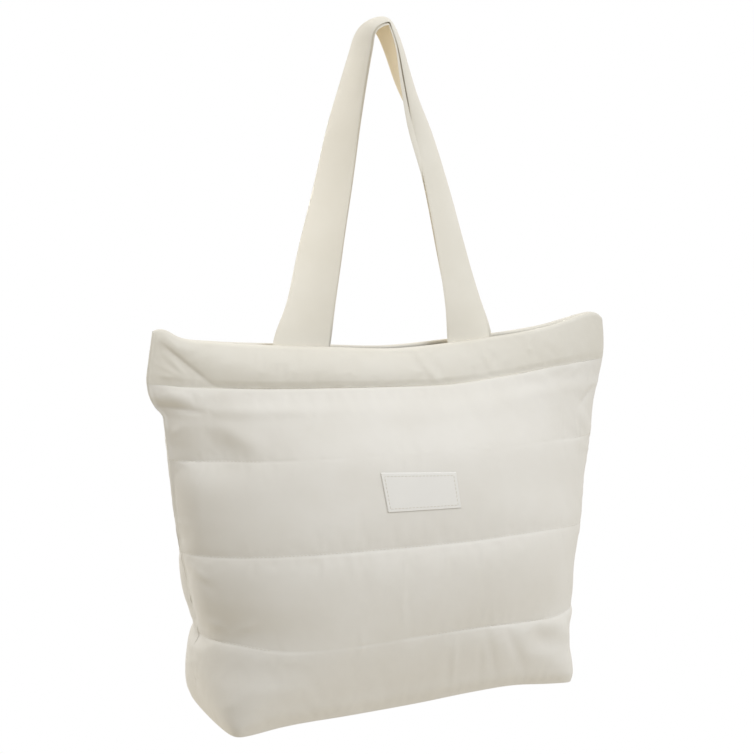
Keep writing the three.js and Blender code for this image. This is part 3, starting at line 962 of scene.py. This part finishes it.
def refined(grid):
    """A grid with a smooth new row between every two rows, and the same for its columns."""
    for axis in (0, 1):
        grid = np.moveaxis(grid, axis, 0)
        ends = np.concatenate([2 * grid[:1] - grid[1:2], grid, 2 * grid[-1:] - grid[-2:-1]])
        fine = np.empty((2 * len(grid) - 1, *grid.shape[1:]))
        fine[::2] = grid
        fine[1::2] = (9 * (ends[1:-2] + ends[2:-1]) - ends[:-3] - ends[3:]) / 16
        grid = np.moveaxis(fine, 0, axis)
    return grid


def fold_moves(move, held):
    """The small folds in a skin's move, without its change of shape, and faded out where seams hold it."""
    move = move - smoothed(move, SHAPE_BLUR)
    free = 1 - smoothed(held.astype(float), HOLD_BLUR)
    move = move * smoothstep(free, *FREE_SHARES)[..., None]
    size = np.linalg.norm(move, axis=-1, keepdims=True)
    return refined(move * np.minimum(1, SKIN_CAP / size.clip(TINY)))


def small_folds(skins):
    """How far cloth simulation moves the points of each skin, from its grid and its mask of pinned points."""
    coarse = {}
    held = {}
    made = {}
    for name, (points, pinned) in skins.items():
        coarse[name] = points[::SKIN_STEP, ::SKIN_STEP]
        held[name] = pinned[::SKIN_STEP, ::SKIN_STEP]
        made[name] = cloth_skin(name, coarse[name], held[name])
    scene = bpy.context.scene
    for step in range(1, SKIN_FRAMES + 1):
        scene.frame_set(step)
    depsgraph = bpy.context.evaluated_depsgraph_get()
    moves = {}
    for name, skin in made.items():
        data = skin.evaluated_get(depsgraph).data
        places = np.zeros(len(data.vertices) * 3, np.float32)
        data.vertices.foreach_get("co", places)
        moves[name] = fold_moves(places.reshape(coarse[name].shape) / MM - coarse[name], held[name])
    for skin in made.values():
        bpy.data.objects.remove(skin)
    scene.frame_set(1)
    return moves


def side_pins(rows):
    """Points of a wall of so many rows that its side seams hold."""
    pins = np.zeros((rows, PANEL_COLUMNS + 1), bool)
    pins[:, :SELVAGE_COLUMNS] = True
    pins[:, -SELVAGE_COLUMNS:] = True
    return pins


def panel_pins():
    """Points of a quilted wall that its seams hold."""
    pins = side_pins((len(SEWN_LINES) - 1) * ROWS_PER_BAFFLE + 1)
    for index, depths in enumerate(sewn_depths(crowded_shares(PANEL_COLUMNS))):
        pins[index * ROWS_PER_BAFFLE] |= depths > SEWN_DEPTH
    pins[0] = True
    return pins


def band_pins():
    """Points of the band that its seams hold."""
    pins = side_pins(BAND_ROWS + 1)
    pins[:SEAM_ROWS] = True
    pins[-RIM_ROWS:] = True
    return pins


def panel_calm(outer):
    """How much of the small folds is kept: most beside sewn lines, and little under the label."""
    heights, _, _ = panel_heights()
    depths = sewn_depths(crowded_shares(PANEL_COLUMNS))
    near = np.zeros(outer.shape[:2])
    for line, depth in zip(SEWN_HEIGHTS, depths):
        near = np.maximum(near, depth * np.exp(-np.abs(heights - line)[:, None] / FOLD_REACH))
    beside_x = np.abs(outer[..., 0] - LABEL_X) - LABEL_WIDTH / 2
    beside_height = np.abs(outer[..., 2] - BASE_Z - LABEL_LEVEL) - LABEL_HEIGHT / 2
    calm = smoothstep(np.maximum(beside_x, beside_height), 0, LABEL_CALM)
    return (FOLD_SHARE + (SEAM_FOLD_SHARE - FOLD_SHARE) * near) * calm


def add_small_folds(faces_by_wall):
    """Adds the small folds to the outer faces of the walls."""
    pins = {"panel": panel_pins(), "band": band_pins()}
    skins = {}
    for name, (outer, _, _) in faces_by_wall.items():
        skins[name] = (outer, pins[name.split("_")[1]])
    for name, move in small_folds(skins).items():
        outer = faces_by_wall[name][0]
        share = panel_calm(outer)[..., None] if name.endswith("panel") else BAND_FOLD_SHARE
        outer += move * share
        keep_in_front(outer)


# Label patch
def label_faces(wall):
    """Outer and inner face of the label patch, laid on the front wall, and the cloth's own run."""
    data = wall.data
    tree = BVHTree.FromPolygons([v.co for v in data.vertices], [p.vertices for p in data.polygons])
    share, up = np.meshgrid(crowded_shares(LABEL_COLUMNS), crowded_shares(LABEL_ROWS))
    corners = np.array([LABEL_BOTTOM, LABEL_TOP], float)
    edges = [left[:, None, None] * (1 - share) + right[:, None, None] * share for left, right in corners]
    x, height = edges[0] * (1 - up) + edges[1] * up
    z = BASE_Z + height
    depth = np.zeros_like(x)
    for place in np.ndindex(x.shape):
        hit = tree.ray_cast(Vector((x[place], WELL_IN_FRONT, z[place])) * MM, Vector((0, 1, 0)))
        depth[place] = hit[0].y / MM
    under = np.stack([x, depth - LABEL_LIFT, z], axis=-1)
    edge = np.minimum(LABEL_WIDTH * np.minimum(share, 1 - share), LABEL_HEIGHT * np.minimum(up, 1 - up))
    over = under.copy()
    over[..., 1] -= LABEL_THICKNESS * rounded_end(edge, LABEL_ROUND)
    return over, under, np.stack([LABEL_WIDTH * share, LABEL_HEIGHT * up], axis=-1)


# Stitches
def stitch_rings(path):
    """Rings of points of a row of stitches along a path on a wall, with the wall's outside at -Y."""
    ring = table_columns(RINGS, RING_COLUMNS)
    run = run_along(path)
    middles = np.arange(STITCH_PITCH / 2, run[-1], STITCH_PITCH)
    places = middles[:, None] + STITCH_LENGTH * ring["place"]
    centres = np.stack([np.interp(places, run, path[:, axis]) for axis in range(3)], axis=-1)
    along = unit(centres[:, -1] - centres[:, 0])[:, None]
    outwards = unit(np.cross(along, [0, 0, 1.0]) + np.cross(along, [1.0, 0, 0]) * np.abs(along[..., 2:]))
    outwards = outwards * np.where(outwards[..., 1:2] > 0, -1, 1)
    beside = np.cross(along, outwards)
    size = STITCH_RADIUS * ring["size"][:, None, None]
    lift = STITCH_RADIUS * ring["lift"][:, None]
    turns = np.linspace(0, 2 * math.pi, STITCH_SIDES, endpoint=False)[:, None]
    spokes = beside[:, :, None] * np.cos(turns) + outwards[:, :, None] * np.sin(turns)
    return (centres + outwards * lift)[:, :, None] + spokes * size


def stitch_object(name, paths, side):
    """Rows of stitches as one mesh of closed threads."""
    rings = np.concatenate([stitch_rings(path) for path in paths])
    if side == BACK:
        rings[..., 1] *= -1
        rings = rings[:, :, ::-1]
    index = np.arange(rings[..., 0].size).reshape(rings.shape[:3])
    after = np.roll(index, -1, axis=2)
    quads = np.stack([index[:, :-1], after[:, :-1], after[:, 1:], index[:, 1:]], -1).reshape(-1, 4).tolist()
    caps = index[:, 0, ::-1].tolist() + index[:, -1].tolist()
    return mesh_object(name, rings.reshape(-1, 3), quads + caps, MATERIALS["thread"])


def quilt_paths(outer):
    """Sewn lines of a front wall's outer face, each where it is drawn in."""
    depths = sewn_depths(crowded_shares(PANEL_COLUMNS))
    paths = []
    for index in range(1, len(SEWN_LINES) - 1):
        shown = depths[index] > STITCHED_DEPTH
        row = outer[index * ROWS_PER_BAFFLE]
        turns = np.flatnonzero(np.diff(shown.astype(int))) + 1
        paths += [part for part, kept in zip(np.split(row, turns), np.split(shown, turns)) if kept[0]]
    return paths


def nearest(values, place):
    """Number of the value that is nearest to a place."""
    return int(np.abs(values - place).argmin())


def label_path(over):
    """A line round the label patch, set in from its edge."""
    columns = crowded_shares(LABEL_COLUMNS) * LABEL_WIDTH
    rows = crowded_shares(LABEL_ROWS) * LABEL_HEIGHT
    left = nearest(columns, LABEL_INSET)
    right = nearest(columns, LABEL_WIDTH - LABEL_INSET)
    low = nearest(rows, LABEL_INSET)
    high = nearest(rows, LABEL_HEIGHT - LABEL_INSET)
    sides = [
        over[low, left:right],
        over[low:high, right],
        over[high, right:left:-1],
        over[high:low - 1:-1, left],
    ]
    return np.concatenate(sides)


# Camera, lights and studio
def add_camera():
    """The camera, from its direction and its distance to the place it looks at."""
    azimuth = math.radians(CAMERA_AZIMUTH)
    elevation = math.radians(CAMERA_ELEVATION)
    level = math.cos(elevation)
    back = Vector((math.sin(azimuth) * level, -math.cos(azimuth) * level, math.sin(elevation)))
    data = bpy.data.cameras.new("camera")
    data.lens = CAMERA_LENS
    camera = bpy.data.objects.new("camera", data)
    camera.location = CAMERA_TARGET + back * CAMERA_DISTANCE
    camera.rotation_euler = (-back).to_track_quat("-Z", "Y").to_euler()
    bpy.context.scene.collection.objects.link(camera)
    bpy.context.scene.camera = camera


def add_area_light(name, place, target, size, power, colour, spread):
    """A round soft light at one place, aimed at another."""
    data = bpy.data.lights.new(name, "AREA")
    data.shape = "DISK"
    data.spread = math.radians(spread)
    data.size = size
    data.energy = power
    data.color = colour
    light = bpy.data.objects.new(name, data)
    light.location = place
    aim = Vector(target) - Vector(place)
    light.rotation_euler = aim.to_track_quat("-Z", "Y").to_euler()
    bpy.context.scene.collection.objects.link(light)


def add_floor():
    """A round pale floor under the hanging bag."""
    turns = [2 * math.pi * step / FLOOR_CORNERS for step in range(FLOOR_CORNERS)]
    mesh = bpy.data.meshes.new("floor")
    rim = [(math.cos(a) * FLOOR_RADIUS, math.sin(a) * FLOOR_RADIUS, FLOOR_Z) for a in turns]
    mesh.from_pydata(rim, [], [tuple(range(FLOOR_CORNERS))])
    material = bpy.data.materials.new("floor")
    material.use_nodes = True
    shader = material.node_tree.nodes["Principled BSDF"]
    shader.inputs["Base Color"].default_value = FLOOR_COLOUR
    shader.inputs["Roughness"].default_value = FLOOR_ROUGHNESS
    mesh.materials.append(material)
    floor = bpy.data.objects.new("floor", mesh)
    bpy.context.scene.collection.objects.link(floor)


def add_world():
    """A white studio whose own light is soft, warm and brightest from above, behind the bag."""
    world = bpy.data.worlds.new("studio")
    world.use_nodes = True
    tree = world.node_tree
    soft = tree.nodes["Background"]
    soft.inputs["Color"].default_value = WORLD_TINT
    direction = tree.nodes.new("ShaderNodeTexCoord")
    towards = tree.nodes.new("ShaderNodeVectorMath")
    towards.operation = "DOT_PRODUCT"
    towards.inputs[1].default_value = WORLD_BRIGHT_SIDE
    tree.links.new(direction.outputs["Generated"], towards.inputs[0])
    ends = {"From_Min": -1, "From_Max": 1, "To_Min": WORLD_DIM, "To_Max": WORLD_BRIGHT}
    strength = node(tree, "ShaderNodeMapRange", **ends)
    tree.links.new(towards.outputs["Value"], strength.inputs["Value"])
    tree.links.new(strength.outputs["Result"], soft.inputs["Strength"])
    seen = node(tree, "ShaderNodeBackground", Color=WHITE)
    path = tree.nodes.new("ShaderNodeLightPath")
    choice = tree.nodes.new("ShaderNodeMixShader")
    tree.links.new(path.outputs["Is Camera Ray"], choice.inputs["Fac"])
    tree.links.new(soft.outputs[0], choice.inputs[1])
    tree.links.new(seen.outputs[0], choice.inputs[2])
    tree.links.new(choice.outputs[0], tree.nodes["World Output"].inputs["Surface"])
    bpy.context.scene.world = world


# Pieces
walls = {}
for word, side in SIDES.items():
    walls[f"{word}_panel"] = panel_faces(side)
    walls[f"{word}_band"] = band_faces(side)
add_small_folds(walls)

pieces = {}
for word, side in SIDES.items():
    for part, kind in (("panel", "quilt"), ("band", "casing")):
        outer, inner, cloth = walls[f"{word}_{part}"]
        if side == BACK:
            outer, inner = mirrored(outer), mirrored(inner)
        material = MATERIALS[SLOTS[f"{word}_{part}"]]
        pieces[f"{word}_{part}"] = wall_object(f"{word}_{part}_{kind}", (outer, inner, cloth), material)
    # The straps' outer faces take nylon painted lighter as painted light, and their inner faces a painted gold
    # glow of light shining through them.
    strap_painted_light_materials = MATERIALS["strap_nylon"], MATERIALS["strap_inside_painted_glow"]
    pieces[f"{word}_strap"] = wall_object(f"{word}_strap_web", strap_faces(side), *strap_painted_light_materials)
pieces["base_panel"] = wall_object("base_panel_pad", base_faces(), MATERIALS["shell_nylon"])
patch = label_faces(pieces["front_panel"])
pieces["label_patch"] = wall_object("label_patch_cloth", patch, MATERIALS["label_cloth"])

stitches = {}
for word, side in SIDES.items():
    name = f"{word}_quilt_stitches"
    stitches[name] = stitch_object(name, quilt_paths(walls[f"{word}_panel"][0]), side)
stitches["label_stitches"] = stitch_object("label_stitches", [label_path(patch[0])], FRONT)
for name, piece in stitches.items():
    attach(piece, "root")

for node_name, piece in pieces.items():
    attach(piece, "root")
    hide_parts(node_name)

add_camera()
add_floor()
add_world()
for row in LIGHTS:
    add_area_light(**dict(zip(LIGHT_COLUMNS, row)))
bpy.context.scene.view_settings.view_transform = "Standard"

bpy.context.view_layer.update()
